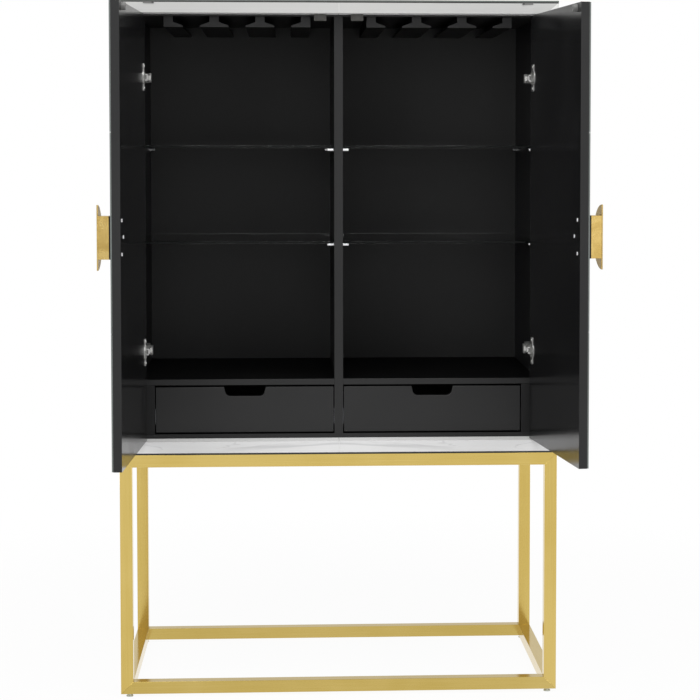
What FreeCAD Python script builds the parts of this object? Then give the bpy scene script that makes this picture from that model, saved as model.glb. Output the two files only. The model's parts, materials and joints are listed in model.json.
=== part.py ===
import FreeCAD, Part
import math
import os

os.makedirs("parts", exist_ok=True)

V = FreeCAD.Vector

# A bar cabinet: a stone-look box with two doors on an open square-tube base.
# X runs to the right, Y to the back and Z up, in millimetres.
# The origin is on the floor, under the middle of the space that the cabinet and its open doors take.
# The right door reaches further out than the left, so the cabinet stands a little to the left of it.
# Shapes are made about the cabinet's own middle, and moved to that place when they are saved.

# Overall sizes
width = 1000.0
depth = 550.0
frame_height = 550.0
body_height = 1025.0
foot_height = 8.0
middle_x = -14.5
running_gap = 0.3
hairline = 0.2
overrun = 1.0

# Base frame of square tube
tube = 28.0
tube_wall = 1.5
foot_disc_radius = 8.0
foot_disc_thick = 4.0
foot_neck_radius = 5.5
foot_inset = 19.0
stud_radius = 3.0
stud_rise = 19.0
bush_radius = 5.5
bush_height = 8.0
bolt_radius = 3.0
bolt_bite = 16.0
bolt_head_radius = 5.5
bolt_head_height = 4.0
bolt_inset = 14.0
bolt_place_share = 0.22

# Box: boards under a glass top, glass at the sides and a strip with a return round the front
sheet = 4.0
board = 22.0
side_glass_thick = 4.0
top_glass_thick = 4.0
trim_thick = 4.0
trim_joint = 0.6
clip_length = 25.0
clip_height = 4.0
clip_thick = 1.0
clip_drop = 1.5
clip_from_middle = 416.0
clip_screw_radius = 1.9
clip_screw_proud = 0.8

# Black inner carcass
recess = 55.0
liner_side = 14.0
liner_top = 8.0
liner_bottom = 14.0
back_thick = 6.0
back_inset = 14.0
divider_thick = 20.0
bay_floor_thick = 14.0
bay_height = 113.0

# Doors
door_gap_side = 3.0
door_gap_middle = 1.5
door_gap_top = 3.0
door_gap_bottom = 2.0
door_glass = 3.0
door_board_thick = 18.0
tile_joint = 1.0
tile_height_shares = (0.295, 0.427, 0.278)
left_open_deg = 92.4
right_open_deg = 96.1
pivot_in = 12.0
pivot_back = 5.0

# Half-round handles, one on each door, that make a full disc when closed
handle_height = 483.0
handle_edge = 1.0
handle_plate_radius = 67.5
handle_plate_thick = 3.0
handle_plate_edge = 0.6
handle_block_reach = 56.0
handle_block_tall = 89.0
handle_block_deep = 22.0
handle_gasket_thick = 3.0
handle_screw_near = 24.0
handle_screw_far = 50.0
handle_screw_rise = 35.0
handle_screw_radius = 2.0
handle_screw_head_radius = 4.5
handle_screw_crown_radius = 3.2
handle_screw_head = 1.8
handle_screw_bite = 14.0

# Cup hinges, two on each door
hinge_from_top = 142.5
hinge_from_bottom = 204.0
cup_radius = 17.5
cup_deep = 11.5
cup_wall = 1.0
cup_from_edge = 22.5
cup_fit = 0.15
flange_tall = 62.0
flange_wide = 18.0
flange_thick = 1.4
flange_round = 4.0
cup_screw_radius = 3.2
cup_screw_proud = 1.0
fork_inner = 5.3
fork_outer = 7.5
fork_root_wide = 8.0
fork_root_from_cup = 15.5
fork_root_deep = 7.0
fork_shoulder = 3.0
fork_reach = 23.0
fork_tip_wide = 8.5
fork_tip_slant = 2.0
fork_neck_back = 4.0
fork_neck_in = 2.2
nose_tall = 10.0
nose_wide = 4.5
nose_from_cup = 9.5
nose_clear = 0.8
nose_straight = 14.0
nose_root = 6.0
arm_tall = 20.0
arm_from_side = 44.0
arm_wide = 9.0
arm_chamfer = 3.0
arm_front = 34.0
arm_bevel = 2.0
arm_crank_front = 56.0
arm_crank_long = 14.0
arm_crank_skew = 4.0
arm_back = 110.0
arm_tail_wide = 21.0
arm_screw_radius = 3.6
arm_screw_proud = 1.2
arm_screw_front = 84.0
arm_screw_apart = 16.0
mount_plate_front = 66.0
mount_plate_long = 46.0
mount_plate_tall = 50.0
mount_plate_thick = 3.0
mount_plate_round = 3.0
mount_wing_front = 76.0
mount_wing_long = 20.0
mount_screw_radius = 3.6
mount_screw_rise = 17.5
mount_screw_proud = 1.2

# Magnetic catches under the top, and the studs on the doors that they hold
catch_wide = 28.0
catch_deep = 24.0
catch_tall = 15.0
catch_from_middle = 42.0
catch_from_strike = 0.4
catch_nose = 2.0
catch_cheek = 5.0
catch_hole_radius = 2.0
strike_from_middle = 37.0
strike_radius = 8.0
strike_tall = 9.5
strike_edge = 1.0
strike_hole_radius = 2.6
strike_hole_deep = 4.0
strike_below_top = 11.0

# Glass shelves on pins
shelf_glass = 6.0
shelf_front = 65.0
shelf_back = 500.0
shelf_side_gap = 1.5
shelf_rise_shares = (0.3738, 0.6382)
pin_radius = 3.6
pin_out = 15.0
pin_in = 8.0
pin_edge = 0.6
pin_from_shelf_end = 45.0
pin_rest_gap = 0.05
pin_fit = 0.1

# Stemware rails under the top
rail_front = 60.0
rail_long = 450.0
rail_web = 22.0
rail_foot_out = 22.0
rail_tall = 25.0
rail_tip = 4.0
rail_flare = 8.0
rails_each_side = 4
rail_first_from_middle = 75.0
rail_last_from_liner = 72.1

# Drawers
drawer_front_thick = 18.0
drawer_front_gap = 2.0
drawer_gap_top = 4.0
drawer_gap_bottom = 4.0
cutout_top = 97.0
cutout_bottom = 68.0
cutout_deep = 21.5
cutout_round = 6.0
filler_thick = 14.0
filler_from_wall = 23.0
filler_deep = 460.0
batten_wide = 30.0
batten_from_end = 60.0
runner_space = 12.7
drawer_long = 420.0
drawer_side_thick = 12.0
drawer_side_tall = 70.0
drawer_side_rise = 12.0
drawer_bottom_thick = 5.0
drawer_bottom_rise = 9.0
drawer_groove = 5.0
track_tall = 35.0
track_wall = 1.2
track_lip = 7.0
track_rise = 26.0
slide_tall = 30.0
slide_flange = 3.6
slide_neck = 16.0

# Levels and planes that follow from the sizes above
door_thick = door_board_thick + door_glass
half_width = width / 2
z_frame = foot_height
z_sheet = z_frame + frame_height
z_body = z_sheet + sheet
z_body_top = z_body + body_height
z_open = z_body + board + trim_thick
z_open_top = z_body_top - board - trim_thick
half_board = half_width - side_glass_thick
half_cavity = half_board - board
half_open = half_cavity - trim_thick
z_cavity = z_body + board
z_cavity_top = z_body_top - board
z_floor = z_cavity + liner_bottom
z_ceiling = z_cavity_top - liner_top
half_inside = half_cavity - liner_side
y_back = depth - back_inset - back_thick
z_bay_top = z_floor + bay_height
z_compartment = z_bay_top + bay_floor_thick
hinge_edge = half_open - door_gap_side
door_width = hinge_edge - door_gap_middle
pivot_x = hinge_edge - pivot_in
front = (door_width - pivot_in - pivot_back - depth) / 2
door_z0 = z_open + door_gap_bottom
door_z1 = z_open_top - door_gap_top
handle_z = door_z0 + handle_height
half_divider = divider_thick / 2
bay_side = half_inside - filler_from_wall - filler_thick
rail_pitch = (half_inside - rail_last_from_liner - rail_first_from_middle) / (rails_each_side - 1)


def slab(x0, x1, y0, y1, z0, z1):
    """A block between two corners; y is counted back from the front plane."""
    return Part.makeBox(x1 - x0, y1 - y0, z1 - z0, V(x0, front + y0, z0))


def post(radius, height, x, y, z, way=V(0, 0, 1)):
    """A round bar that starts at a point and runs along a direction."""
    return Part.makeCylinder(radius, height, V(x, front + y, z), way)


def prism_xz(points, y0, y1):
    """An outline in X and Z, run from one depth to another."""
    ring = [V(x, front + y0, z) for x, z in points]
    return Part.Face(Part.makePolygon(ring + ring[:1])).extrude(V(0, y1 - y0, 0))


def prism_xy(points, z0, z1):
    """An outline in X and Y, run from one level to another."""
    ring = [V(x, front + y, z0) for x, y in points]
    return Part.Face(Part.makePolygon(ring + ring[:1])).extrude(V(0, 0, z1 - z0))


def mirrored(shape):
    return shape.mirror(V(0, 0, 0), V(1, 0, 0))


def both_sides(shape):
    return [mirrored(shape), shape]


def edges_along_y(shape, length):
    return [e for e in shape.Edges if abs(e.BoundBox.YLength - length) < hairline and abs(e.Length - length) < hairline]


def save(name, *shapes):
    """Writes one piece, or a set of like pieces, under its own name."""
    solids = [solid for shape in shapes for solid in shape.Solids]
    out = solids[0] if len(solids) == 1 else Part.makeCompound(solids)
    out = out.translated(V(middle_x, 0, 0))
    out.exportStep("parts/" + name + ".step")


# Base frame


def hollowed(outside, inside, y0):
    """A length of tube from the outline of its outside and that of its hollow."""
    core = prism_xz(inside, y0 + tube_wall, y0 + tube - tube_wall)
    return prism_xz(outside, y0, y0 + tube).cut(core)


def frame_rail(level, inward, y0):
    """A level rail, mitred at both ends; inward is 1 when the frame's middle is above it and -1 below."""
    far = level + inward * tube
    near_in = level + inward * tube_wall
    far_in = far - inward * tube_wall
    inner = half_width - tube
    wide_in = half_width - tube_wall
    tight_in = inner + tube_wall
    outside = [(-half_width, level), (half_width, level), (inner, far), (-inner, far)]
    inside = [(-wide_in, near_in), (wide_in, near_in), (tight_in, far_in), (-tight_in, far_in)]
    return hollowed(outside, inside, y0)


def frame_leg(y0):
    """The right-hand upright, mitred at both ends."""
    top = z_frame + frame_height
    inner = half_width - tube
    low = z_frame + tube
    high = top - tube
    wide_in = half_width - tube_wall
    tight_in = inner + tube_wall
    outside = [(half_width, z_frame), (half_width, top), (inner, high), (inner, low)]
    inside = [
        (wide_in, z_frame + tube_wall),
        (wide_in, top - tube_wall),
        (tight_in, high + tube_wall),
        (tight_in, low - tube_wall),
    ]
    return hollowed(outside, inside, y0)


def foot_places():
    """Each foot's name with the x and y of its axis."""
    x = half_width - foot_inset
    y_near = tube / 2
    y_far = depth - tube / 2
    return [("front_left", -x, y_near), ("front_right", x, y_near), ("rear_left", -x, y_far), ("rear_right", x, y_far)]


def base_rail(y0):
    """The rail on the floor side, with a threaded bush over each foot."""
    rail = frame_rail(z_frame, 1, y0)
    for name, x, y in foot_places():
        if y0 < y < y0 + tube:
            rail = rail.fuse(post(bush_radius, bush_height, x, y, z_frame + tube_wall / 2))
            rail = rail.cut(post(stud_radius + running_gap, tube, x, y, z_frame - overrun))
    return rail


def side_rail(level):
    """A tube that runs from the front rectangle to the rear one, on the right."""
    inner = half_width - tube
    outside = slab(inner, half_width, tube, depth - tube, level, level + tube)
    x0 = inner + tube_wall
    x1 = half_width - tube_wall
    core = slab(x0, x1, tube - overrun, depth - tube + overrun, level + tube_wall, level + tube - tube_wall)
    return outside.cut(core)


def bolt_places():
    x = half_width - bolt_inset
    return [(side * x, depth * share) for side in (-1, 1) for share in (bolt_place_share, 1 - bolt_place_share)]


def with_bolt_holes(shape, z0, z1):
    for x, y in bolt_places():
        shape = shape.cut(post(bolt_radius + running_gap, z1 - z0, x, y, z0))
    return shape


def build_base_frame():
    top = z_frame + frame_height
    y_rear = depth - tube
    save("frame_legs_front", *both_sides(frame_leg(0)))
    save("frame_legs_rear", *both_sides(frame_leg(y_rear)))
    save("frame_rail_top_front", frame_rail(top, -1, 0))
    save("frame_rail_top_rear", frame_rail(top, -1, y_rear))
    save("frame_rail_base_front", base_rail(0))
    save("frame_rail_base_rear", base_rail(y_rear))
    upper = with_bolt_holes(side_rail(top - tube), top - tube - overrun, top + overrun)
    save("frame_rails_top_sides", *both_sides(upper))
    save("frame_rails_base_sides", *both_sides(side_rail(z_frame)))


def build_feet():
    """A levelling foot: a round glide with a neck and a threaded stud that turns in its bush."""
    for name, x, y in foot_places():
        rim = foot_disc_thick / 2
        disc = post(foot_disc_radius, rim, x, y, 0)
        dome = Part.makeCone(foot_disc_radius, foot_neck_radius, foot_disc_thick - rim, V(x, front + y, rim))
        neck = post(foot_neck_radius, foot_height - foot_disc_thick - running_gap, x, y, foot_disc_thick)
        stud = post(stud_radius, stud_rise, x, y, foot_disc_thick)
        save("foot_" + name, disc.fuse(dome).fuse(neck).fuse(stud).removeSplitter())


def build_frame_bolts():
    """Bolts that run up through the side rails into the sides of the box."""
    under_rail = z_sheet - tube
    bolts = []
    for x, y in bolt_places():
        head = post(bolt_head_radius, bolt_head_height, x, y, under_rail - bolt_head_height)
        shank = post(bolt_radius, tube + sheet + bolt_bite, x, y, under_rail)
        bolts.append(head.fuse(shank))
    save("frame_bolts", *bolts)


# Box


def build_shell():
    """Two sides, a bottom and a top board, behind the strip that covers their front edges."""
    side = slab(half_cavity, half_board, trim_thick, depth, z_body, z_body_top)
    side = with_bolt_holes(side, z_body - overrun, z_body + bolt_bite + overrun)
    save("side_panels", *both_sides(side))
    save("bottom_panel", slab(-half_cavity, half_cavity, trim_thick, depth, z_body, z_cavity))
    save("top_panel", slab(-half_cavity, half_cavity, trim_thick, depth, z_cavity_top, z_body_top))
    under = slab(-half_width, half_width, 0, depth, z_sheet, z_body)
    save("underlay_sheet", with_bolt_holes(under, z_sheet - overrun, z_body + overrun))


def build_glass_cladding():
    pane = slab(half_board, half_width, trim_thick, depth, z_body, z_body_top)
    save("side_glass", *both_sides(pane))
    save("top_glass", slab(-half_width, half_width, 0, depth, z_body_top, z_body_top + top_glass_thick))


def level_trim(z_outer, z_inner, z_behind):
    """The right half of a level strip with its return, mitred at the corner."""
    mid = trim_joint / 2
    face = [(mid, z_outer), (half_width, z_outer), (half_open, z_inner), (mid, z_inner)]
    lip = [(mid, z_behind), (half_cavity, z_behind), (half_open, z_inner), (mid, z_inner)]
    return prism_xz(face, 0, trim_thick).fuse(prism_xz(lip, 0, recess)).removeSplitter()


def upright_trim():
    """The right-hand strip with its return, mitred at both corners."""
    face = [(half_width, z_body), (half_width, z_body_top), (half_open, z_open_top), (half_open, z_open)]
    lip = [(half_cavity, z_cavity), (half_cavity, z_cavity_top), (half_open, z_open_top), (half_open, z_open)]
    return prism_xz(face, 0, trim_thick).fuse(prism_xz(lip, 0, recess)).removeSplitter()


def build_front_trim():
    save("front_trim_top", *both_sides(level_trim(z_body_top, z_open_top, z_cavity_top)))
    save("front_trim_bottom", *both_sides(level_trim(z_body, z_open, z_cavity)))
    save("front_trim_sides", *both_sides(upright_trim()))


def build_top_clips():
    """A small plate with a screw on the top strip, near each corner."""
    z1 = z_body_top - clip_drop
    x0 = clip_from_middle
    z_mid = z1 - clip_height / 2
    plate = slab(x0, x0 + clip_length, -clip_thick, 0, z1 - clip_height, z1)
    screw = post(clip_screw_radius, clip_thick + clip_screw_proud, x0 + clip_screw_radius, 0, z_mid, V(0, -1, 0))
    save("top_glass_clips", *both_sides(plate.fuse(screw).removeSplitter()))


# Black inner carcass


def shelf_levels():
    return [z_compartment + (z_ceiling - z_compartment) * share for share in shelf_rise_shares]


def shelf_pin_places():
    """Depth and level of each pin's axis, the same on every wall."""
    depths = (shelf_front + pin_from_shelf_end, shelf_back - pin_from_shelf_end)
    drop = pin_radius + pin_rest_gap
    return [(y, z - drop) for z in shelf_levels() for y in depths]


def with_pin_holes(wall, face_x, into):
    """Blind holes for the shelf pins; into is 1 when the wall lies on the right of its face, and -1 on the left."""
    for y, z in shelf_pin_places():
        wall = wall.cut(post(pin_radius + pin_fit, pin_in + pin_fit, face_x, y, z, V(into, 0, 0)))
    return wall


def build_carcass():
    save("liner_bottom", slab(-half_cavity, half_cavity, recess, y_back, z_cavity, z_floor))
    save("liner_top", slab(-half_cavity, half_cavity, recess, y_back, z_ceiling, z_cavity_top))
    side = slab(half_inside, half_cavity, recess, y_back, z_floor, z_ceiling)
    save("liner_sides", *both_sides(with_pin_holes(side, half_inside, 1)))
    save("back_panel", slab(-half_cavity, half_cavity, y_back, y_back + back_thick, z_cavity, z_cavity_top))
    wall = slab(-half_divider, half_divider, recess, y_back, z_floor, z_ceiling)
    wall = with_pin_holes(with_pin_holes(wall, -half_divider, 1), half_divider, -1)
    save("divider", wall)
    save("compartment_floors", *both_sides(slab(half_divider, half_inside, recess, y_back, z_bay_top, z_compartment)))


def drawer_filler():
    """The upright beside the right-hand drawer, held off the wall by two battens."""
    x1 = bay_side + filler_thick
    wall = slab(bay_side, x1, recess, recess + filler_deep, z_floor, z_bay_top)
    for y in (batten_from_end, filler_deep - batten_from_end):
        y0 = recess + y - batten_wide / 2
        wall = wall.fuse(slab(x1, half_inside, y0, y0 + batten_wide, z_floor, z_bay_top))
    return wall.fuse(slab(x1, half_inside, recess, recess + filler_thick, z_floor, z_bay_top)).removeSplitter()


# Shelves, pins and stemware rails


def shelf_pin(wall_x, out, y, z):
    """A round pin in a wall; out is the way it sticks out, 1 to the right and -1 to the left."""
    pin = post(pin_radius, pin_in + pin_out, wall_x - out * pin_in, y, z, V(out, 0, 0))
    end = wall_x + out * pin_out
    tip = [e for e in pin.Edges if abs(e.BoundBox.XMin - end) < hairline and abs(e.BoundBox.XMax - end) < hairline]
    return pin.makeChamfer(pin_edge, tip)


def build_shelves():
    panes = []
    for z in shelf_levels():
        x0 = half_divider + shelf_side_gap
        x1 = half_inside - shelf_side_gap
        panes += both_sides(slab(x0, x1, shelf_front, shelf_back, z, z + shelf_glass))
    save("glass_shelves", *panes)
    pins = []
    for y, z in shelf_pin_places():
        pins += both_sides(shelf_pin(half_divider, 1, y, z)) + both_sides(shelf_pin(half_inside, -1, y, z))
    save("shelf_pins", *pins)


def stem_rail(x_web, foot_in, foot_out):
    """A hanging rail: a web with a flared foot towards the middle, away from it, or both."""
    z_foot = z_ceiling - rail_tall
    z_tip = z_foot + rail_tip
    z_flare = z_tip + rail_flare
    x0 = x_web - rail_web / 2
    x1 = x_web + rail_web / 2
    if foot_in:
        left = [(x0, z_ceiling), (x0, z_flare), (x0 - rail_foot_out, z_tip), (x0 - rail_foot_out, z_foot)]
    else:
        left = [(x0, z_ceiling), (x0, z_foot)]
    if foot_out:
        right = [(x1 + rail_foot_out, z_foot), (x1 + rail_foot_out, z_tip), (x1, z_flare), (x1, z_ceiling)]
    else:
        right = [(x1, z_foot), (x1, z_ceiling)]
    return prism_xz(left + right, rail_front, rail_front + rail_long)


def build_stem_rails():
    """Four rails on each side of the divider; the end ones have a foot on the slot side only."""
    rails = []
    for i in range(rails_each_side):
        x = rail_first_from_middle + i * rail_pitch
        rails.append(stem_rail(x, i > 0, i < rails_each_side - 1))
    save("stem_rails_right", *rails)
    save("stem_rails_left", *[mirrored(rail) for rail in rails])


# Doors, drawn closed on the right and then swung open


def hinge_levels():
    return [door_z0 + hinge_from_bottom, door_z1 - hinge_from_top]


def handle_screw_places():
    x = door_gap_middle
    return [
        (x + handle_screw_near, handle_z - handle_screw_rise),
        (x + handle_screw_far, handle_z),
        (x + handle_screw_near, handle_z + handle_screw_rise),
    ]


def with_screw_holes(shape, y0, y1):
    for x, z in handle_screw_places():
        shape = shape.cut(post(handle_screw_radius + cup_fit, y1 - y0, x, y0, z, V(0, 1, 0)))
    return shape


def door_board():
    core = slab(door_gap_middle, hinge_edge, door_glass, door_thick, door_z0, door_z1)
    for z in hinge_levels():
        y = door_thick - cup_deep - cup_fit
        core = core.cut(post(cup_radius + cup_fit, cup_deep + overrun, hinge_edge - cup_from_edge, y, z, V(0, 1, 0)))
    return with_screw_holes(core, 0, door_thick + overrun)


def door_tiles():
    """Three panes of glass that cover the door's face, one over another."""
    tiles = []
    z = door_z0
    gap = tile_joint / 2
    for share in tile_height_shares:
        top = z + (door_z1 - door_z0) * share
        pane = slab(door_gap_middle, hinge_edge, 0, door_glass, z + gap, top - gap)
        tiles.append(with_screw_holes(pane, -overrun, door_glass + overrun))
        z = top
    return tiles


def half_disc(radius, tall, y0, y1):
    """A disc cut off along the door's free edge, and level at the height given."""
    x = door_gap_middle + handle_edge
    disc = post(radius, y1 - y0, x, y0, handle_z, V(0, 1, 0))
    return disc.common(slab(x, x + radius, y0, y1, handle_z - tall / 2, handle_z + tall / 2))


def handle_gasket():
    pad = half_disc(handle_block_reach, handle_block_tall, -handle_gasket_thick, 0)
    return with_screw_holes(pad, -handle_gasket_thick - overrun, overrun)


def handle_block():
    """The block between the door and the plate, bored for the three screws that hold the handle."""
    near = -handle_gasket_thick
    block = half_disc(handle_block_reach, handle_block_tall, near - handle_block_deep, near)
    return with_screw_holes(block, near - handle_screw_bite, near + overrun)


def handle_plate():
    y1 = -handle_gasket_thick - handle_block_deep
    y0 = y1 - handle_plate_thick
    plate = half_disc(handle_plate_radius, handle_plate_radius * 2, y0, y1)
    rim = [e for e in plate.Edges if e.BoundBox.YLength < hairline and e.BoundBox.YMin < front + y0 + hairline]
    return plate.makeChamfer(handle_plate_edge, rim)


def handle_screws():
    """Pan-head screws from the inner face of the door into the block."""
    screws = []
    reach = door_thick + handle_gasket_thick + handle_screw_bite - overrun
    for x, z in handle_screw_places():
        seat = V(x, front + door_thick, z)
        head = Part.makeCone(handle_screw_head_radius, handle_screw_crown_radius, handle_screw_head, seat, V(0, 1, 0))
        shank = post(handle_screw_radius, reach, x, door_thick, z, V(0, -1, 0))
        screws.append(head.fuse(shank).removeSplitter())
    return screws


def fork_outline():
    """Seen from above with the door shut: from inside the cup back to where the arm's nose meets it when open."""
    cup_x = hinge_edge - cup_from_edge
    root_out = cup_x + fork_root_from_cup
    root_in = root_out - fork_root_wide
    seat = door_thick - fork_root_deep
    tip = pivot_back + fork_reach
    limit = pivot_x + fork_tip_wide
    return [
        (root_in, seat),
        (root_in, door_thick + fork_shoulder),
        (pivot_x, tip),
        (limit, tip - fork_tip_slant),
        (limit - fork_neck_in, tip - fork_neck_back),
        (root_out, door_thick),
        (root_out, seat),
    ]


def nose_outline():
    """The end of the fixed arm, which the cup takes in when the door shuts."""
    x0 = hinge_edge - cup_from_edge - nose_from_cup
    x1 = x0 - nose_wide
    tip = door_thick - cup_deep + cup_wall + nose_clear
    bend = tip + nose_straight
    root = arm_front + nose_root
    far = half_open - arm_from_side
    return [(x0, tip), (x1, tip), (x1, bend), (far + nose_root, root), (far + arm_wide, root)]


def arm_outline():
    """The cranked arm, from its back end on the wall plate to its front end away from the wall."""
    far = half_open - arm_from_side
    near = far + arm_wide
    seat = half_inside - mount_plate_thick
    crank_back = arm_crank_front + arm_crank_long
    return [
        (near, arm_front + arm_bevel),
        (far, arm_front),
        (far, arm_crank_front + arm_crank_skew),
        (seat - arm_tail_wide, crank_back + arm_crank_skew),
        (seat - arm_tail_wide, arm_back),
        (seat, arm_back),
        (seat, crank_back),
        (near, arm_crank_front),
    ]


def hinge_cup(z):
    """A pressed cup with a long flange held by two screws, and the forked lever that folds into it."""
    x = hinge_edge - cup_from_edge
    can = post(cup_radius, cup_deep, x, door_thick - cup_deep, z, V(0, 1, 0))
    half_wide = flange_wide / 2
    half_tall = flange_tall / 2
    y1 = door_thick + flange_thick
    flange = slab(x - half_wide, x + half_wide, door_thick, y1, z - half_tall, z + half_tall)
    flange = flange.makeFillet(flange_round, edges_along_y(flange, flange_thick))
    rim = post(cup_radius + cup_wall, flange_thick, x, door_thick, z, V(0, 1, 0))
    cup = can.fuse(flange).fuse(rim)
    hollow = post(cup_radius - cup_wall, cup_deep + flange_thick, x, door_thick - cup_deep + cup_wall, z, V(0, 1, 0))
    cup = cup.cut(hollow)
    for side in (-1, 1):
        z_screw = z + side * (half_tall + cup_radius) / 2
        cup = cup.fuse(post(cup_screw_radius, flange_thick + cup_screw_proud, x, door_thick, z_screw, V(0, 1, 0)))
        z0 = min(z + side * fork_inner, z + side * fork_outer)
        cup = cup.fuse(prism_xy(fork_outline(), z0, z0 + fork_outer - fork_inner))
    return cup.removeSplitter()


def strike_disc():
    """The round stud that the magnet holds, with the hole for its screw."""
    z = door_z1 - strike_below_top
    stud = post(strike_radius, strike_tall, strike_from_middle, door_thick, z, V(0, 1, 0))
    top = front + door_thick + strike_tall
    stud = stud.makeChamfer(strike_edge, [e for e in stud.Edges if e.BoundBox.YMin > top - hairline])
    y0 = door_thick + strike_tall - strike_hole_deep
    return stud.cut(post(strike_hole_radius, strike_hole_deep + overrun, strike_from_middle, y0, z, V(0, 1, 0)))


def swung(shape, opening_deg):
    """Turns a closed right-hand piece about the hinge axis, its free edge coming forward."""
    out = shape.copy()
    out.rotate(V(pivot_x, front + pivot_back, 0), V(0, 0, 1), opening_deg)
    return out


def build_door(side, opening_deg):
    pieces = {
        "door_board": [door_board()],
        "door_tiles": door_tiles(),
        "handle_gasket": [handle_gasket()],
        "handle_block": [handle_block()],
        "handle_plate": [handle_plate()],
        "handle_screws": handle_screws(),
        "hinge_cups": [hinge_cup(z) for z in hinge_levels()],
        "strike_disc": [strike_disc()],
    }
    for name, solids in pieces.items():
        placed = [swung(solid, opening_deg) for solid in solids]
        if side == "left":
            placed = [mirrored(solid) for solid in placed]
        save(name + "_" + side, *placed)


# Fixed half of the hinges, and the catches


def hinge_arm(z):
    """A cranked arm on its plate, with a nose that reaches between the fork's blades."""
    low = z - arm_tall / 2
    arm = prism_xy(arm_outline(), low, low + arm_tall)
    near = half_open - arm_from_side + arm_wide
    shoulders = [e for e in arm.Edges if e.BoundBox.XMax < near + hairline and e.BoundBox.XMin > near - hairline]
    arm = arm.makeChamfer(arm_chamfer, [e for e in shoulders if e.BoundBox.ZLength < hairline])
    arm = arm.fuse(prism_xy(nose_outline(), z - nose_tall / 2, z + nose_tall / 2))
    face = half_inside - mount_plate_thick - arm_tail_wide
    for y in (arm_screw_front, arm_screw_front + arm_screw_apart):
        arm = arm.fuse(post(arm_screw_radius, arm_screw_proud, face, y, z, V(-1, 0, 0)))
    return arm.removeSplitter()


def mount_plate(z):
    """The plate with two wings that screws to the wall under the arm."""
    x0 = half_inside - mount_plate_thick
    y1 = mount_plate_front + mount_plate_long
    spine = slab(x0, half_inside, mount_plate_front, y1, z - arm_tall / 2, z + arm_tall / 2)
    wing_back = mount_wing_front + mount_wing_long
    half_tall = mount_plate_tall / 2
    wings = slab(x0, half_inside, mount_wing_front, wing_back, z - half_tall, z + half_tall)
    corners = [e for e in wings.Edges if abs(e.BoundBox.XLength - mount_plate_thick) < hairline]
    plate = wings.makeFillet(mount_plate_round, corners).fuse(spine)
    for side in (-1, 1):
        y = mount_wing_front + mount_wing_long / 2
        plate = plate.fuse(post(mount_screw_radius, mount_screw_proud, x0, y, z + side * mount_screw_rise, V(-1, 0, 0)))
    return plate.removeSplitter()


def build_hinge_arms():
    arms = []
    plates = []
    for z in hinge_levels():
        arms += both_sides(hinge_arm(z))
        plates += both_sides(mount_plate(z))
    save("hinge_arms", *arms)
    save("hinge_plates", *plates)


def build_catches():
    """A magnet with a steel nose in a housing, on each side of the middle."""
    x0 = catch_from_middle - catch_wide / 2
    x1 = catch_from_middle + catch_wide / 2
    z0 = z_open_top - catch_tall
    y0 = door_thick + strike_tall + catch_from_strike
    y1 = y0 + catch_nose
    body = slab(x0, x1, y1, y0 + catch_deep, z0, z_open_top)
    nose = slab(x0 + catch_cheek, x1 - catch_cheek, y0, y1, z0 + catch_nose, z_open_top - catch_nose)
    catch = body.fuse(nose)
    for x in (x0 + catch_cheek, x1 - catch_cheek):
        catch = catch.cut(post(catch_hole_radius, catch_tall / 2, x, y0 + catch_deep / 2, z0, V(0, 0, 1)))
    save("magnetic_catches", *both_sides(catch.removeSplitter()))


# Drawers, drawn on the right


def drawer_front():
    """The front board, with a sloped finger cut-out in its top edge."""
    x0 = half_divider + drawer_front_gap
    x1 = bay_side - drawer_front_gap
    mid = (x0 + x1) / 2
    z0 = z_floor + drawer_gap_bottom
    z1 = z_bay_top - drawer_gap_top
    z_cut = z1 - cutout_deep
    top = cutout_top / 2
    low = cutout_bottom / 2
    right = [(x1, z1), (mid + top, z1), (mid + low, z_cut)]
    left = [(mid - low, z_cut), (mid - top, z1), (x0, z1)]
    panel = prism_xz([(x0, z0), (x1, z0)] + right + left, recess, recess + drawer_front_thick)
    upright = edges_along_y(panel, drawer_front_thick)
    corners = [e for e in upright if abs(e.BoundBox.ZMin - z_cut) < hairline]
    return panel.makeFillet(cutout_round, corners)


def drawer_box():
    """Two grooved sides, a back and a bottom that sits in the grooves."""
    x0 = half_divider + runner_space
    x1 = bay_side - runner_space
    y0 = recess + drawer_front_thick
    y1 = y0 + drawer_long
    z0 = z_floor + drawer_side_rise
    z1 = z0 + drawer_side_tall
    zb0 = z0 + drawer_bottom_rise
    zb1 = zb0 + drawer_bottom_thick
    groove_left = x0 + drawer_side_thick - drawer_groove
    groove_right = x1 - drawer_side_thick + drawer_groove
    void = slab(groove_left, groove_right, y0 - overrun, y1 + overrun, zb0 - hairline, zb1 + hairline)
    left = slab(x0, x0 + drawer_side_thick, y0, y1, z0, z1).cut(void)
    right = slab(x1 - drawer_side_thick, x1, y0, y1, z0, z1).cut(void)
    inner_left = x0 + drawer_side_thick + hairline
    inner_right = x1 - drawer_side_thick - hairline
    back = slab(inner_left, inner_right, y1 - drawer_side_thick, y1, zb1 + hairline, z1)
    bottom = slab(groove_left + hairline, groove_right - hairline, y0, y1, zb0, zb1)
    return [left, right, back, bottom]


def runner_track(face_x, out, z_mid):
    """The channel on a wall of the bay; out is 1 when the bay lies on its right, and -1 on its left."""
    y0 = recess + drawer_front_thick
    z0 = z_mid - track_tall / 2
    z1 = z_mid + track_tall / 2
    lip = face_x + out * track_lip
    web = face_x + out * track_wall
    low = [(face_x, z0), (lip, z0), (lip, z0 + track_wall), (web, z0 + track_wall)]
    high = [(web, z1 - track_wall), (lip, z1 - track_wall), (lip, z1), (face_x, z1)]
    return prism_xz(low + high, y0, y0 + drawer_long)


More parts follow.
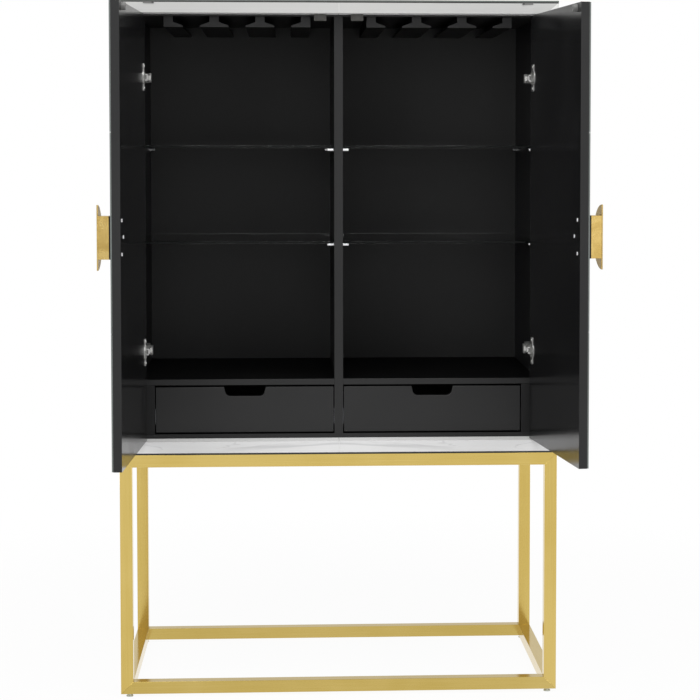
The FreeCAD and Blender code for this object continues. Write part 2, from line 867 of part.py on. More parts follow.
def runner_slide(face_x, out, z_mid):
    """The bar on the drawer's side that runs in the channel."""
    y0 = recess + drawer_front_thick
    near = face_x + out * (track_wall + running_gap)
    step = near + out * slide_flange
    far = face_x + out * runner_space
    tall = slide_tall / 2
    neck = slide_neck / 2
    low = [(near, z_mid - tall), (step, z_mid - tall), (step, z_mid - neck), (far, z_mid - neck)]
    high = [(far, z_mid + neck), (step, z_mid + neck), (step, z_mid + tall), (near, z_mid + tall)]
    return prism_xz(low + high, y0, y0 + drawer_long)


def build_drawers():
    z_mid = z_floor + drawer_side_rise + track_rise
    pieces = {
        "drawer_front": [drawer_front()],
        "drawer_box": drawer_box(),
        "runner_slides": [runner_slide(half_divider, 1, z_mid), runner_slide(bay_side, -1, z_mid)],
    }
    for name, solids in pieces.items():
        save(name + "_left", *[mirrored(solid) for solid in solids])
        save(name + "_right", *solids)
    tracks = both_sides(runner_track(half_divider, 1, z_mid)) + both_sides(runner_track(bay_side, -1, z_mid))
    save("runner_tracks", *tracks)
    save("drawer_fillers", *both_sides(drawer_filler()))


build_base_frame()
build_feet()
build_frame_bolts()
build_shell()
build_glass_cladding()
build_front_trim()
build_top_clips()
build_carcass()
build_shelves()
build_stem_rails()
build_door("left", left_open_deg)
build_door("right", right_open_deg)
build_hinge_arms()
build_catches()
build_drawers()
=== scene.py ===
import json
import math
import bmesh
import bpy
from mathutils import Matrix, Vector


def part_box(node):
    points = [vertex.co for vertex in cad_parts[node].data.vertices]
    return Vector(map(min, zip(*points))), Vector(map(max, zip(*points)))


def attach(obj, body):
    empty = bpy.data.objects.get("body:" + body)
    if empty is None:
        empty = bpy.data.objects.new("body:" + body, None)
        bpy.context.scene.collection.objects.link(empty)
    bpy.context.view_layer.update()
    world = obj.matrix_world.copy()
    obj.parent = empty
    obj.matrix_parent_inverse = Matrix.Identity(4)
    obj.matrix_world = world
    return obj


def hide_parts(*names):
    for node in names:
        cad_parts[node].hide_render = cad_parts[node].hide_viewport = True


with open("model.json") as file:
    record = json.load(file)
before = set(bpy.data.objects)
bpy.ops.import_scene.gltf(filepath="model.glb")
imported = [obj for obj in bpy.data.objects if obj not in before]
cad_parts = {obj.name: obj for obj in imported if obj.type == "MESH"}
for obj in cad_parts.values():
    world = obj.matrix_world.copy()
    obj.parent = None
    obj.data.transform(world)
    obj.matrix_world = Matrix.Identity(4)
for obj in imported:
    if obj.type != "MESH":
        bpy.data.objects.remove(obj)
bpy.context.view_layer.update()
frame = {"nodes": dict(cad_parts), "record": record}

mm = 0.001
sides = ("left", "right")

# Where the cabinet's planes are, in metres, read from its own pieces
front_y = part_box("front_trim_sides")[0].y
glass_low, glass_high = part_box("top_glass")
middle_x = (glass_low.x + glass_high.x) / 2

# What each piece of the frame rides on
record = frame["record"]
body_of = {node: body for body, nodes in record["behaviour"]["bodies"].items() for node in nodes}


# Finishes


class Signal:
    """A value that varies over a surface, with the sums and products done on it."""

    def __init__(self, finish, socket):
        self.finish = finish
        self.socket = socket

    def maths(self, operation, first, second=0.0, clamp=False):
        settings = {"operation": operation, "use_clamp": clamp}
        return self.finish.node("ShaderNodeMath", settings, (first, second))

    def __add__(self, other):
        return self.maths("ADD", self, other)

    def __radd__(self, other):
        return self.maths("ADD", other, self)

    def __sub__(self, other):
        return self.maths("SUBTRACT", self, other)

    def __rsub__(self, other):
        return self.maths("SUBTRACT", other, self)

    def __mul__(self, other):
        return self.maths("MULTIPLY", self, other)

    def __rmul__(self, other):
        return self.maths("MULTIPLY", other, self)

    def __abs__(self):
        return self.maths("ABSOLUTE", self)

    def sine(self):
        return self.maths("SINE", self)

    def larger(self, other):
        """The larger of this value and the other."""
        return self.maths("MAXIMUM", self, other)

    def held(self):
        """The value kept between 0 and 1."""
        return self.maths("ADD", self, 0.0, True)

    def step(self, start, end):
        """0 below start, 1 above end, and a smooth rise between."""
        settings = {"interpolation_type": "SMOOTHSTEP", "clamp": True}
        values = {"Value": self, "From Min": start, "From Max": end}
        return self.finish.node("ShaderNodeMapRange", settings, values)

    def beside(self, output):
        """Another output of the node that gives this value."""
        return Signal(self.finish, self.socket.node.outputs[output])


class Finish:
    """The nodes of a material or of the world, with the ways to add to them."""

    # Which sockets of a Mix node hold its factor, its two colours and its mixed colour
    factor, first_colour, second_colour, mixed_colour = 0, 6, 7, 2

    def __init__(self, owner):
        self.owner = owner
        self.owner.use_nodes = True
        self.tree = self.owner.node_tree
        self.shader = self.tree.nodes.get("Principled BSDF")
        self.place = self.node("ShaderNodeTexCoord", {}, {}, "Object")

    def node(self, kind, settings, inputs, output=0):
        """A new node: its settings first, then a value or a link for each socket named."""
        made = self.tree.nodes.new(kind)
        for key, value in settings.items():
            setattr(made, key, value)
        pairs = inputs.items() if isinstance(inputs, dict) else enumerate(inputs)
        for key, value in pairs:
            self.feed(made.inputs[key], value)
        return Signal(self, made.outputs[output])

    def feed(self, socket, value):
        if isinstance(value, Signal):
            self.tree.links.new(value.socket, socket)
        elif socket.type == "RGBA" and len(value) == 3:
            socket.default_value = (*value, 1.0)
        else:
            socket.default_value = value

    def stretched(self, scale):
        """The place on the piece, with its own scale along each axis."""
        return self.node("ShaderNodeMapping", {}, {"Vector": self.place, "Scale": scale})

    def along(self, lengths, turn, place):
        """Places measured along turned directions, each in its own length."""
        values = {"Vector": place, "Rotation": turn, "Scale": lengths}
        return self.node("ShaderNodeMapping", {"vector_type": "TEXTURE"}, values)

    def noise(self, scale, detail, roughness=0.5, distortion=0.0, place=None):
        values = {
            "Vector": place or self.place,
            "Scale": scale,
            "Detail": detail,
            "Roughness": roughness,
            "Distortion": distortion,
        }
        return self.node("ShaderNodeTexNoise", {}, values, "Fac")

    def axes(self):
        """The three coordinates as separate values."""
        split = self.node("ShaderNodeSeparateXYZ", {}, (self.place,))
        return [split.beside(axis) for axis in range(3)]

    def point(self, x, y, z):
        return self.node("ShaderNodeCombineXYZ", {}, (x, y, z))

    def colour(self, amount, low, high):
        """The low colour where the amount is 0, the high one where it is 1, and further on past 1."""
        settings = {"data_type": "RGBA", "clamp_factor": False}
        values = {self.factor: amount, self.first_colour: low, self.second_colour: high}
        return self.node("ShaderNodeMix", settings, values, self.mixed_colour)

    def bump(self, height, depth):
        """A relief as deep as stated, in metres, where the height goes from 0 to 1."""
        values = {"Height": height, "Distance": depth, "Strength": 1.0}
        return self.node("ShaderNodeBump", {}, values, "Normal")

    def shade(self, **values):
        """Sets or links the main shader's sockets, and returns the material."""
        for key, value in values.items():
            self.feed(self.shader.inputs[key.replace("_", " ")], value)
        return self.owner


def start_finish(name):
    return Finish(bpy.data.materials.new(name))


def scaled(tone, amount):
    """A colour made darker or lighter."""
    return tuple(amount * part for part in tone)


def brass(name, grain, tone=1.0):
    """Polished brass: faint draw lines along the tube, and a slow drift between olive and amber."""
    f = start_finish(name)
    lines = f.noise(scale=1.0, detail=4.0, roughness=0.6, place=f.stretched(grain))
    drift = f.noise(scale=3.1, detail=3.0, roughness=0.6, distortion=0.5)
    smear = f.noise(scale=14.0, detail=4.0, roughness=0.65, distortion=0.6)
    light = scaled((0.68, 0.51, 0.165), tone)
    deep = scaled((0.61, 0.445, 0.120), tone)
    amount = (lines * 0.45 + drift * 0.55).step(0.36, 0.64)
    return f.shade(
        Base_Color=f.colour(amount, deep, light),
        Metallic=1.0,
        Roughness=0.09 + smear * 0.05 + lines * 0.03,
        Normal=f.bump(lines * 0.4 + smear * 0.6, depth=0.02 * mm),
    )


def ribbed_brass(name, rate, ribbing, tone=1.0):
    """The pulls: satin brass with rubbed high spots and level ribs, at a rate in radians per metre."""
    f = start_finish(name)
    height = f.axes()[2]
    ribs = (height * rate).sine()
    drift = f.noise(scale=26.0, detail=4.0, roughness=0.6, distortion=0.8)
    light = scaled((0.58, 0.42, 0.150), tone)
    deep = scaled((0.48, 0.33, 0.100), tone)
    return f.shade(
        Base_Color=f.colour(drift.step(0.35, 0.7), deep, light),
        Metallic=1.0,
        Roughness=0.20 + drift * 0.12,
        Normal=f.bump(ribs * ribbing + drift * 0.2, depth=0.25 * mm),
    )


def stone(name, ground, lengths, turn=(0.0, 0.0, 0.0), strength=1.0, drift=0.0, gloss=1.0):
    """White glass with a printed stone look: soft grey clouds, broad veins and thin hair veins."""
    f = start_finish(name)
    x, y, z = f.axes()
    mirrored = f.point(abs(x - middle_x), y + drift, z)
    flow = f.along(lengths, turn, mirrored)
    sway = f.noise(scale=0.9, detail=3.0, place=flow)
    broad = f.noise(scale=0.8, detail=5.0, distortion=0.5, place=flow)
    fine = f.noise(scale=1.5, detail=4.0, roughness=0.42, distortion=0.5, place=flow)
    cloudy = f.noise(scale=1.3, detail=5.0, roughness=0.55, distortion=0.4, place=flow)
    speck = f.noise(scale=420.0, detail=2.0)
    broad_vein = 1.0 - abs(broad - 0.5).step(0.0, 0.040)
    fine_vein = 1.0 - abs(fine - 0.5).step(0.0, 0.012)
    cloud = cloudy.step(0.42, 0.75)
    veined = sway.step(0.42, 0.62)
    dark = (broad_vein * veined * 0.62 + fine_vein * veined * 0.45 + cloud * 0.16).held() * strength
    vein_grey = (0.36, 0.36, 0.37)
    return f.shade(
        Base_Color=f.colour(dark, ground, vein_grey),
        Roughness=0.45 - 0.35 * gloss + speck * 0.05,
        Specular_IOR_Level=0.05 + 0.45 * gloss,
        Coat_Weight=0.35 * gloss,
        Coat_Roughness=0.03,
        Normal=f.bump(speck, depth=0.004 * mm),
    )


def lacquer(name, ground, roughness, sheen, rise=0.0):
    """Black lacquer: slight orange peel and patches of bloom, and painted light that makes it lighter
    towards the top, as much as the rise asks.
    """
    f = start_finish(name)
    peel = f.noise(scale=260.0, detail=3.0)
    bloom = f.noise(scale=3.2, detail=4.0, roughness=0.6, distortion=0.4)
    height = f.axes()[2]
    # Painted light: above this span of height the colour is lightened, standing for the light that reaches
    # the top of the inside
    dark_until, light_from = 0.6, 1.6
    amount = bloom.step(0.35, 0.75) + height.step(dark_until, light_from) * rise
    low = scaled((0.85, 0.86, 0.90), ground)
    high = scaled((1.25, 1.25, 1.28), ground)
    return f.shade(
        Base_Color=f.colour(amount, low, high),
        Roughness=roughness + bloom * 0.07,
        Specular_IOR_Level=sheen,
        Normal=f.bump(peel, depth=0.01 * mm),
    )


def gloss_lacquer(name, ground):
    """The doors' broad faces: black gloss with faint upright polishing streaks."""
    f = start_finish(name)
    upright = f.stretched((38.0, 38.0, 1.6))
    streaks = f.noise(scale=1.0, detail=5.0, roughness=0.62, place=upright)
    peel = f.noise(scale=90.0, detail=2.0)
    haze = f.noise(scale=4.0, detail=4.0, roughness=0.6, distortion=0.5).step(0.4, 0.75)
    low = scaled((0.8, 0.8, 0.84), ground)
    high = scaled((1.3, 1.3, 1.34), ground)
    return f.shade(
        Base_Color=f.colour(haze, low, high),
        Roughness=0.13 + streaks * 0.06 + haze * 0.06,
        Normal=f.bump(streaks * 0.7 + peel * 0.3, depth=0.02 * mm),
    )


def board(name, tone):
    """The satin face and cut edge of a painted board, with the faint lines of its fibres."""
    f = start_finish(name)
    level = f.stretched((60.0, 60.0, 900.0))
    fibre = f.noise(scale=1.0, detail=4.0, roughness=0.65, place=level)
    drift = f.noise(scale=4.0, detail=3.0)
    return f.shade(
        Base_Color=f.colour(fibre * 0.6 + drift * 0.4, scaled(tone, 0.8), tone),
        Roughness=0.46 + drift * 0.12,
        Normal=f.bump(fibre, depth=0.03 * mm),
    )


def plated(name, tone, roughness):
    """Plated steel with rubbed patches."""
    f = start_finish(name)
    rub = f.noise(scale=220.0, detail=3.0, roughness=0.6)
    drift = f.noise(scale=38.0, detail=3.0)
    return f.shade(
        Base_Color=f.colour(drift, scaled(tone, 0.86), tone),
        Metallic=1.0,
        Roughness=roughness + rub * 0.10,
        Normal=f.bump(rub, depth=0.01 * mm),
    )


def moulded(name, tone, roughness, sheen=0.5):
    """Moulded plastic or rubber with a fine grain."""
    f = start_finish(name)
    skin = f.noise(scale=900.0, detail=2.0)
    drift = f.noise(scale=30.0, detail=2.0)
    return f.shade(
        Base_Color=f.colour(drift, scaled(tone, 0.85), tone),
        Roughness=roughness + skin * 0.08,
        Specular_IOR_Level=sheen,
        Normal=f.bump(skin, depth=0.03 * mm),
    )


def clear_glass(name, tint, roughness, mirror=1.0):
    """Float glass, clear with a pale tint or, at its polished edges, a deep one that mirrors less."""
    f = start_finish(name)
    wipe = f.noise(scale=9.0, detail=4.0, roughness=0.6, distortion=0.8)
    return f.shade(
        Base_Color=f.colour(wipe, tint, scaled(tint, 0.94)),
        Roughness=wipe.step(0.4, 0.8) * roughness,
        Specular_Tint=(mirror, mirror, mirror),
        Transmission_Weight=1.0,
        IOR=1.45,
    )


# How fine the draw lines of a brass tube are, per metre, across the tube and along it
across, along = 900.0, 6.0

# The maker of each finish, and what it is given
recipes = {
    "brass_upright": (brass, dict(grain=(across, across, along))),
    "brass_level": (brass, dict(grain=(along, across, across))),
    # The base rails' brass is the frame's brass made darker: painted shade
    "brass_base": (brass, dict(grain=(along, across, across), tone=0.88)),
    "brass_deep": (brass, dict(grain=(across, along, across))),
    "brass_block": (ribbed_brass, dict(rate=900.0, ribbing=0.04)),
    "brass_plate": (ribbed_brass, dict(rate=1460.0, ribbing=0.5, tone=0.97)),
    "stone_pane": (
        stone,
        dict(ground=(0.71, 0.71, 0.70), lengths=(0.6, 0.30, 0.95), turn=(0.60, 0.0, 0.0)),
    ),
    "stone_top": (
        stone,
        dict(
            ground=(0.51, 0.51, 0.50),
            lengths=(0.95, 0.30, 0.6),
            turn=(0.0, 0.0, 0.50),
            drift=3.7,
            gloss=0.5,
        ),
    ),
    # The top strip's front is the same white stone as the other strips made darker: painted shade
    "stone_strip": (
        stone,
        dict(ground=(0.545, 0.545, 0.535), lengths=(0.55, 0.30, 0.045), strength=0.2, drift=8.1, gloss=0.0),
    ),
    "stone_strip_low": (
        stone,
        dict(ground=(0.74, 0.74, 0.74), lengths=(0.55, 0.30, 0.035), strength=0.6, drift=2.6, gloss=0.0),
    ),
    "stone_strip_upright": (
        stone,
        dict(ground=(0.74, 0.74, 0.73), lengths=(0.06, 0.30, 0.55), strength=0.5, drift=5.3, gloss=0.0),
    ),
    # The returns inside the opening are the strips' white stone made much brighter: painted light
    "stone_return": (
        stone,
        dict(ground=(0.97, 0.97, 0.96), lengths=(0.55, 0.06, 0.30), strength=0.1, drift=4.4, gloss=0.0),
    ),
    "black_lacquer": (lacquer, dict(ground=0.0062, roughness=0.40, sheen=0.42)),
    # The compartment floors' tops are the black lacquer made darker still: painted shade
    "floor_lacquer": (lacquer, dict(ground=0.0020, roughness=0.50, sheen=0.06)),
    # The lining and the side walls get painted light: they are made lighter towards the top by their rise
    "lining_lacquer": (lacquer, dict(ground=0.0070, roughness=0.48, sheen=0.42, rise=4.0)),
    "wall_lacquer": (lacquer, dict(ground=0.0100, roughness=0.48, sheen=0.31, rise=2.0)),
    "filler_lacquer": (lacquer, dict(ground=0.0048, roughness=0.48, sheen=0.32)),
    "door_lacquer": (gloss_lacquer, dict(ground=0.0135)),
    "door_edge": (lacquer, dict(ground=0.010, roughness=0.42, sheen=0.32)),
    "board_edge": (board, dict(tone=(0.020, 0.020, 0.021))),
    "dark_sheet": (board, dict(tone=(0.016, 0.016, 0.014))),
    "clear_glass": (clear_glass, dict(tint=(0.95, 0.97, 0.96), roughness=0.04)),
    "glass_edge": (clear_glass, dict(tint=(0.09, 0.12, 0.11), roughness=0.10, mirror=0.35)),
    "pane_edge": (moulded, dict(tone=(0.15, 0.17, 0.16), roughness=0.18)),
    "bright_steel": (plated, dict(tone=(0.80, 0.80, 0.82), roughness=0.10)),
    "hinge_steel": (plated, dict(tone=(0.68, 0.68, 0.665), roughness=0.34)),
    "zinc_steel": (plated, dict(tone=(0.58, 0.60, 0.63), roughness=0.28)),
    "black_rubber": (moulded, dict(tone=(0.006, 0.006, 0.005), roughness=0.62, sheen=0.15)),
    # The dark bead under the top sheet: a painted shadow
    "black_plastic": (moulded, dict(tone=(0.022, 0.022, 0.022), roughness=0.42)),
    "catch_plastic": (moulded, dict(tone=(0.08, 0.078, 0.072), roughness=0.42)),
    "stud_plastic": (moulded, dict(tone=(0.17, 0.17, 0.165), roughness=0.3)),
    "dark_screw": (plated, dict(tone=(0.10, 0.10, 0.10), roughness=0.35)),
    # The white bead in the strips' joints: a painted highlight
    "joint_bead": (moulded, dict(tone=(0.86, 0.86, 0.85), roughness=0.4)),
    "pale_plastic": (moulded, dict(tone=(0.74, 0.80, 0.76), roughness=0.30)),
}
finishes = {name: maker(name, **values) for name, (maker, values) in recipes.items()}


# Pieces

# Sharper edges than this are rounded, and flatter ones inside a face are taken out
hard_angle = math.radians(35)
flat_angle = math.radians(0.5)

# Points closer than this are the same point
same_place = 0.01 * mm


def add_piece(name, shape, body, finish, stands_for=()):
    """Makes an object from a worked shape, and says what it rides on and stands for."""
    mesh = bpy.data.meshes.new(name)
    shape.to_mesh(mesh)
    shape.free()
    piece = bpy.data.objects.new(name, mesh)
    bpy.context.scene.collection.objects.link(piece)
    mesh.materials.append(finishes[finish])
    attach(piece, body)
    if stands_for:
        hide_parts(*stands_for)
    return piece


def round_off(shape, edges, width, segments):
    """Bevels the edges given, and returns the new faces."""
    made = bmesh.ops.bevel(
        shape,
        geom=edges,
        offset=width,
        offset_type="OFFSET",
        segments=segments,
        profile=0.5,
        affect="EDGES",
        clamp_overlap=True,
        material=-1,
    )
    return set(made["faces"])


def soften(shape, width, segments=2):
    """Rounds every hard edge by the width given, and shades the rounds smoothly and the flats flat."""
    shared = [edge for edge in shape.edges if len(edge.link_faces) == 2]
    hard = [edge for edge in shared if edge.calc_face_angle(0.0) > hard_angle]
    rounds = round_off(shape, hard, width, segments)
    for face in shape.faces:
        face.smooth = True
    for edge in shape.edges:
        kinds = {face in rounds for face in edge.link_faces}
        edge.smooth = len(kinds) == 1 and edge.calc_face_angle(0.0) < hard_angle


def worked_copy(node, width):
    """A copy of a piece of the frame with its edges eased."""
    shape = bmesh.new()
    shape.from_mesh(frame["nodes"][node].data)
    bmesh.ops.remove_doubles(shape, verts=shape.verts, dist=same_place)
    bmesh.ops.dissolve_limit(
        shape,
        angle_limit=flat_angle,
        verts=shape.verts,
        edges=shape.edges,
        delimit={"NORMAL"},
    )
    soften(shape, width)
    return shape


def broad_normal(piece):
    """The direction that a piece's largest face looks in."""
    return max(piece.data.polygons, key=lambda face: face.area).normal.copy()


def finish_edges(piece, finish, least=0.9):
    """Gives a sheet's narrow faces a finish of their own.

    A face is narrow when the cosine of its angle with the broadest face is under the least one.
    """
    piece.data.materials.append(finishes[finish])
    broad = broad_normal(piece)
    for face in piece.data.polygons:
        if abs(face.normal.dot(broad)) < least:
            face.material_index = 1


def drawer_front(node, width):
    """A drawer's front drawn anew, with a steep-sided finger cut-out that is round at its lower corners."""
    half_top, half_low = 47.8 * mm, 43.0 * mm
    deep, rounding, rounding_steps = 21.5 * mm, 10.0 * mm, 6
    low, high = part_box(node)
    centre = (low.x + high.x) / 2
    cut = high.z - deep
    outline = [
        (low.x, low.z),
        (high.x, low.z),
        (high.x, high.z),
        (centre + half_top, high.z),
        (centre + half_low, cut),
        (centre - half_low, cut),
        (centre - half_top, high.z),
        (low.x, high.z),
    ]
    shape = bmesh.new()
    corners = [shape.verts.new((x, low.y, z)) for x, z in outline]
    loop = [shape.edges.new(ends) for ends in zip(corners, corners[1:] + corners[:1])]
    face = bmesh.ops.edgeloop_fill(shape, edges=loop)["faces"]
    made = bmesh.ops.extrude_face_region(shape, geom=face)["geom"]
    moved = [item for item in made if isinstance(item, bmesh.types.BMVert)]
    bmesh.ops.translate(shape, verts=moved, vec=(0.0, high.y - low.y, 0.0))
    bmesh.ops.recalc_face_normals(shape, faces=shape.faces)
    lower_corners = []
    for edge in shape.edges:
        first, last = (end.co for end in edge.verts)
        level = abs(first.z - cut) < same_place and abs(last.z - cut) < same_place
        if level and abs(first.x - last.x) < same_place:
            lower_corners.append(edge)
    round_off(shape, lower_corners, rounding, rounding_steps)
    soften(shape, width)
    return shape


def dress(node, finish, width):
    """The finished piece that stands for a piece of the frame."""
    shape = drawer_front(node, width) if node.startswith("drawer_front") else worked_copy(node, width)
    return add_piece(node + "_dressed", shape, body_of[node], finish, (node,))


# The finish of each piece, and how far its edges are rounded
edge_plan = {
    "frame_legs_front": ("brass_upright", 0.35 * mm),
    "frame_legs_rear": ("brass_upright", 0.35 * mm),
    "frame_rail_top_front": ("brass_level", 0.35 * mm),
    "frame_rail_top_rear": ("brass_level", 0.35 * mm),
    # The base rails take the darker brass, a painted shade
    "frame_rail_base_front": ("brass_base", 0.35 * mm),
    "frame_rail_base_rear": ("brass_base", 0.35 * mm),
    "frame_rails_top_sides": ("brass_deep", 0.35 * mm),
    "frame_rails_base_sides": ("brass_deep", 0.35 * mm),
    "foot_front_left": ("pale_plastic", 0.5 * mm),
    "foot_front_right": ("pale_plastic", 0.5 * mm),
    "foot_rear_left": ("pale_plastic", 0.5 * mm),
    "foot_rear_right": ("pale_plastic", 0.5 * mm),
    "frame_bolts": ("zinc_steel", 0.4 * mm),
    "side_panels": ("board_edge", 0.8 * mm),
    "bottom_panel": ("board_edge", 0.8 * mm),
    "top_panel": ("board_edge", 0.8 * mm),
    "underlay_sheet": ("dark_sheet", 0.4 * mm),
    "side_glass": ("stone_pane", 0.7 * mm),
    "top_glass": ("stone_top", 0.9 * mm),
    # The returns of the strips take the brighter stone, a painted light; their fronts get their own finish
    # further down
    "front_trim_top": ("stone_return", 0.4 * mm),
    "front_trim_bottom": ("stone_return", 0.4 * mm),
    "front_trim_sides": ("stone_return", 0.4 * mm),
    "top_glass_clips": ("stud_plastic", 0.3 * mm),
    "liner_bottom": ("lining_lacquer", 0.5 * mm),
    "liner_top": ("lining_lacquer", 0.5 * mm),
    "liner_sides": ("wall_lacquer", 0.5 * mm),
    "back_panel": ("lining_lacquer", 0.3 * mm),
    "divider": ("black_lacquer", 1.0 * mm),
    "compartment_floors": ("floor_lacquer", 1.0 * mm),
    "glass_shelves": ("clear_glass", 1.2 * mm),
    "shelf_pins": ("bright_steel", 0.3 * mm),
    "stem_rails_left": ("black_lacquer", 0.8 * mm),
    "stem_rails_right": ("black_lacquer", 0.8 * mm),
    "hinge_arms": ("hinge_steel", 0.6 * mm),
    "hinge_plates": ("hinge_steel", 0.4 * mm),
    "magnetic_catches": ("catch_plastic", 0.6 * mm),
    "runner_tracks": ("zinc_steel", 0.2 * mm),
    "drawer_fillers": ("filler_lacquer", 0.8 * mm),
}
for side in sides:
    edge_plan.update({
        "door_board_" + side: ("door_lacquer", 1.0 * mm),
        "door_tiles_" + side: ("stone_pane", 0.7 * mm),
        "handle_gasket_" + side: ("black_rubber", 0.3 * mm),
        "handle_block_" + side: ("brass_block", 1.2 * mm),
        "handle_plate_" + side: ("brass_plate", 0.4 * mm),
        "handle_screws_" + side: ("bright_steel", 0.3 * mm),
        "hinge_cups_" + side: ("hinge_steel", 0.4 * mm),
        "strike_disc_" + side: ("stud_plastic", 0.4 * mm),
        "drawer_front_" + side: ("black_lacquer", 1.2 * mm),
        "drawer_box_" + side: ("board_edge", 0.8 * mm),
        "runner_slides_" + side: ("zinc_steel", 0.2 * mm),
    })
pieces = {node: dress(node, finish, width) for node, (finish, width) in edge_plan.items()}

# Narrow faces with a finish of their own: the rounds of the shelves stay as clear as their broad faces
finish_edges(pieces["glass_shelves"], "glass_edge", least=0.3)
# The floors' tops keep the darker lacquer, a painted shade, and their edges take the plain black lacquer
finish_edges(pieces["compartment_floors"], "black_lacquer")
finish_edges(pieces["top_glass"], "pane_edge")
finish_edges(pieces["side_glass"], "pane_edge")
# The strips' fronts take their own stone, the top one darker than the others as painted shade, while the
# returns keep their painted light
finish_edges(pieces["front_trim_top"], "stone_strip")
finish_edges(pieces["front_trim_bottom"], "stone_strip_low")
finish_edges(pieces["front_trim_sides"], "stone_strip_upright")
for side in sides:
    finish_edges(pieces["door_tiles_" + side], "pane_edge")
    finish_edges(pieces["door_board_" + side], "door_edge")


def add_block(shape, low, high):
    """A block between two corners."""
    size = Vector(high) - Vector(low)
    place = Matrix.Translation((Vector(low) + Vector(high)) / 2) @ Matrix.Diagonal((*size, 1.0))
    bmesh.ops.create_cube(shape, size=1.0, matrix=place)


def add_head(shape, place, radius, depth, segments):
    """The round head of a screw, with its axis along the Z of its place."""
    bmesh.ops.create_cone(
        shape,
        cap_ends=True,
        segments=segments,
        radius1=radius,
        radius2=radius,
        depth=depth,
        matrix=place,
    )


def add_clip_screws():
    """A dark screw head at the inner end of each clip on the top strip."""
    radius, depth, proud, easing = 2.1 * mm, 1.0 * mm, 0.2 * mm, 0.25 * mm
    from_outer_end = 21.5 * mm
    low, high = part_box("top_glass_clips")
    facing_front = Matrix.Rotation(math.pi / 2, 4, "X")
    shape = bmesh.new()
    for direction in (-1, 1):
        x = middle_x + direction * (high.x - middle_x - from_outer_end)
        place = Matrix.Translation((x, low.y - proud, (low.z + high.z) / 2)) @ facing_front
        add_head(shape, place, radius, depth, segments=20)
    soften(shape, easing)
    add_piece("clip_screws", shape, "cabinet", "dark_screw")


def add_strike_screws():
    """A dark screw sunk in the hole of the stud near the top of each door."""
    radius, depth, sunk, easing = 2.5 * mm, 2.0 * mm, 3.0 * mm, 0.5 * mm
    for side in sides:
        stud, door = "strike_disc_" + side, "door_board_" + side
        low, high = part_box(stud)
        door_low, door_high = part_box(door)
        centre = (low + high) / 2
        broad = broad_normal(frame["nodes"][door])
        axis = broad if broad.dot(centre - (door_low + door_high) / 2) > 0 else -broad
        tip = max(corner.co.dot(axis) for corner in frame["nodes"][stud].data.vertices)
        head = centre + axis * (tip - sunk - centre.dot(axis))
        place = Matrix.Translation(head) @ axis.to_track_quat("Z", "Y").to_matrix().to_4x4()
        shape = bmesh.new()
        add_head(shape, place, radius, depth, segments=24)
        soften(shape, easing, segments=3)
        add_piece("strike_screw_" + side, shape, body_of[stud], "dark_screw")


def add_strip_joint_highlights():
    """A white bead in the joint between the two halves of each level strip, a painted highlight for the
    light that the joint's rounded edges catch.
    """
    half, short, easing = 0.25 * mm, 0.5 * mm, 0.1 * mm
    sunk, depth = 0.4 * mm, 3.0 * mm
    shape = bmesh.new()
    for node in ("front_trim_top", "front_trim_bottom"):
        low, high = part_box(node)
        near = (middle_x - half, low.y + sunk, low.z + short)
        far = (middle_x + half, low.y + sunk + depth, high.z - short)
        add_block(shape, near, far)
    soften(shape, easing)
    add_piece("strip_joint_highlights", shape, "cabinet", "joint_bead")


def add_top_shadow_line():
    """A dark bead under the front edge of the top sheet, a painted shadow that stands for the shadow in the
    gap there.
    """
    short, easing = 1.0 * mm, 0.15 * mm
    proud, behind = 0.3 * mm, 0.6 * mm
    below, above = 2.3 * mm, 0.4 * mm
    shape = bmesh.new()
    near = (glass_low.x + short, front_y - proud, glass_low.z - below)
    far = (glass_high.x - short, front_y + behind, glass_low.z + above)
    add_block(shape, near, far)
    soften(shape, easing)
    add_piece("top_shadow_line", shape, "cabinet", "black_plastic")


add_clip_screws()
add_strike_screws()
add_strip_joint_highlights()
add_top_shadow_line()


# Studio


def floor_finish(albedo, seen):
    """A pale floor that keeps its shadow, and that the camera, gloss and glass see as nearly white.

    Far from the object it is seen as wholly white.
    """
    f = start_finish("studio_floor")
    grain = f.noise(scale=30.0, detail=3.0)
    pale = (albedo, albedo, albedo)
    f.shade(Base_Color=f.colour(grain, scaled(pale, 0.985), pale), Roughness=0.9)
    x, y = f.axes()[:2]
    near_squared, far_squared = 0.8, 6.0
    far = (x * x + y * y).step(near_squared, far_squared)
    camera_ray = f.node("ShaderNodeLightPath", {}, {}, "Is Camera Ray")
    glossy_ray = camera_ray.beside("Is Glossy Ray")
    through_ray = camera_ray.beside("Is Transmission Ray")
    looked_at = (camera_ray + glossy_ray + through_ray).held()
    share = looked_at * (far * (1.0 - seen) + seen)
    glow = f.node("ShaderNodeEmission", {}, {"Color": (1.0, 1.0, 1.0), "Strength": 1.0}, "Emission")
    lit = Signal(f, f.shader.outputs["BSDF"])
    mixed = f.node("ShaderNodeMixShader", {}, (share, lit, glow))
    f.tree.links.new(mixed.socket, f.tree.nodes["Material Output"].inputs["Surface"])
    return f.owner


def build_floor():
    """A level floor, just under the glides so that the two planes don't flicker."""
    half_size, gap = 14.0, 0.2 * mm
    shape = bmesh.new()
    place = Matrix.Translation((0.0, 0.0, -gap))
    bmesh.ops.create_grid(shape, x_segments=1, y_segments=1, size=half_size, matrix=place)
    mesh = bpy.data.meshes.new("studio_floor")
    shape.to_mesh(mesh)
    shape.free()
    mesh.materials.append(floor_finish(albedo=0.94, seen=0.955))
    floor = bpy.data.objects.new("studio_floor", mesh)
    bpy.context.scene.collection.objects.link(floor)


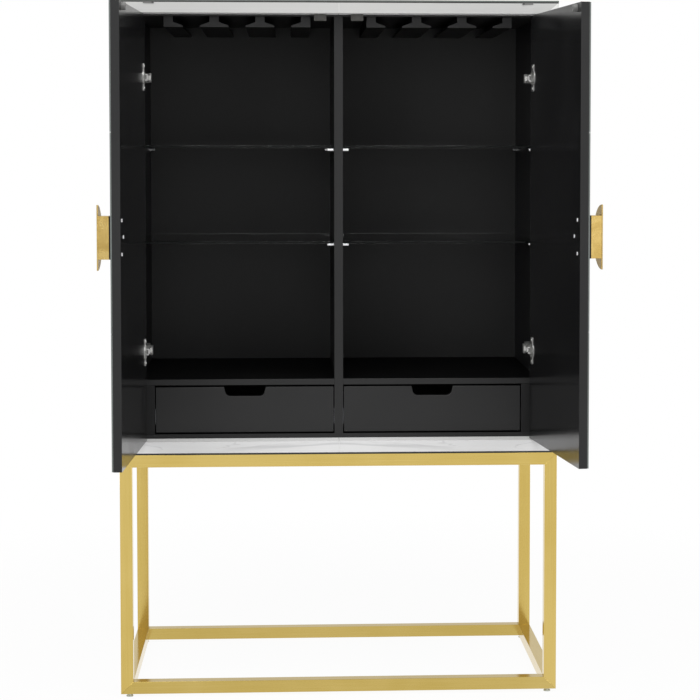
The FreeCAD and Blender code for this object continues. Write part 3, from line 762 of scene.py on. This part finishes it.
def build_world(soft, glossy):
    """Even white all round: full to the eye and through glass, less in gloss, and least as soft light."""
    world = bpy.data.worlds.new("studio")
    bpy.context.scene.world = world
    f = Finish(world)
    camera_ray = f.node("ShaderNodeLightPath", {}, {}, "Is Camera Ray")
    eye = camera_ray.larger(camera_ray.beside("Is Transmission Ray"))
    gloss = camera_ray.beside("Is Glossy Ray") * glossy
    background = f.tree.nodes["Background"]
    f.feed(background.inputs["Color"], (1.0, 1.0, 1.0))
    f.feed(background.inputs["Strength"], eye.larger(gloss.larger(soft)))


def add_soft_light(name, place, target, size, power):
    """A rectangular lamp that looks at its target, and that the camera doesn't see."""
    lamp = bpy.data.lights.new(name, "AREA")
    lamp.shape = "RECTANGLE"
    lamp.size, lamp.size_y = size
    lamp.energy = power
    made = bpy.data.objects.new(name, lamp)
    made.location = place
    made.rotation_euler = (Vector(target) - Vector(place)).to_track_quat("-Z", "Y").to_euler()
    made.visible_camera = False
    bpy.context.scene.collection.objects.link(made)


def add_lamps():
    doors = (0.0, front_y, 0.8)
    base = (0.0, front_y, 0.6)
    overhead = (0.0, front_y - 2.5, 4.9)
    add_soft_light("front_left_softbox", (-2.8, -4.6, 2.2), doors, size=(2.4, 2.4), power=52.0)
    add_soft_light("front_right_softbox", (3.1, -4.2, 1.6), doors, size=(2.0, 2.4), power=28.0)
    add_soft_light("high_front_softbox", overhead, base, size=(5.0, 3.0), power=165.0)


def add_camera():
    """A camera at the photograph's place, slightly left of the middle and looking slightly down."""
    left, back, height = 0.1142, 4.6824, 1.2600
    yaw, pitch, roll = -0.05263, -0.05498, 0.00064
    focal_px, across_px, down_px, picture_px = 2061.4, 47.4, -90.0, 700.0
    right = Vector((math.cos(yaw), math.sin(yaw), 0.0))
    ahead = Vector((-math.sin(yaw), math.cos(yaw), 0.0))
    forward = ahead * math.cos(pitch) + Vector((0.0, 0.0, math.sin(pitch)))
    up = Vector((0.0, 0.0, math.cos(pitch))) - ahead * math.sin(pitch)
    rolled_right = right * math.cos(roll) + up * math.sin(roll)
    rolled_up = up * math.cos(roll) - right * math.sin(roll)
    data = bpy.data.cameras.new("camera")
    data.sensor_width = 36.0
    data.lens = data.sensor_width * focal_px / picture_px
    data.shift_x = -across_px / picture_px
    data.shift_y = down_px / picture_px
    camera = bpy.data.objects.new("camera", data)
    turned = Matrix((rolled_right, rolled_up, -forward)).transposed().to_4x4()
    camera.matrix_world = Matrix.Translation((middle_x - left, front_y - back, height)) @ turned
    bpy.context.scene.collection.objects.link(camera)
    bpy.context.scene.camera = camera


build_floor()
build_world(soft=0.40, glossy=0.80)
add_lamps()
add_camera()

bpy.context.scene.view_settings.view_transform = "Standard"
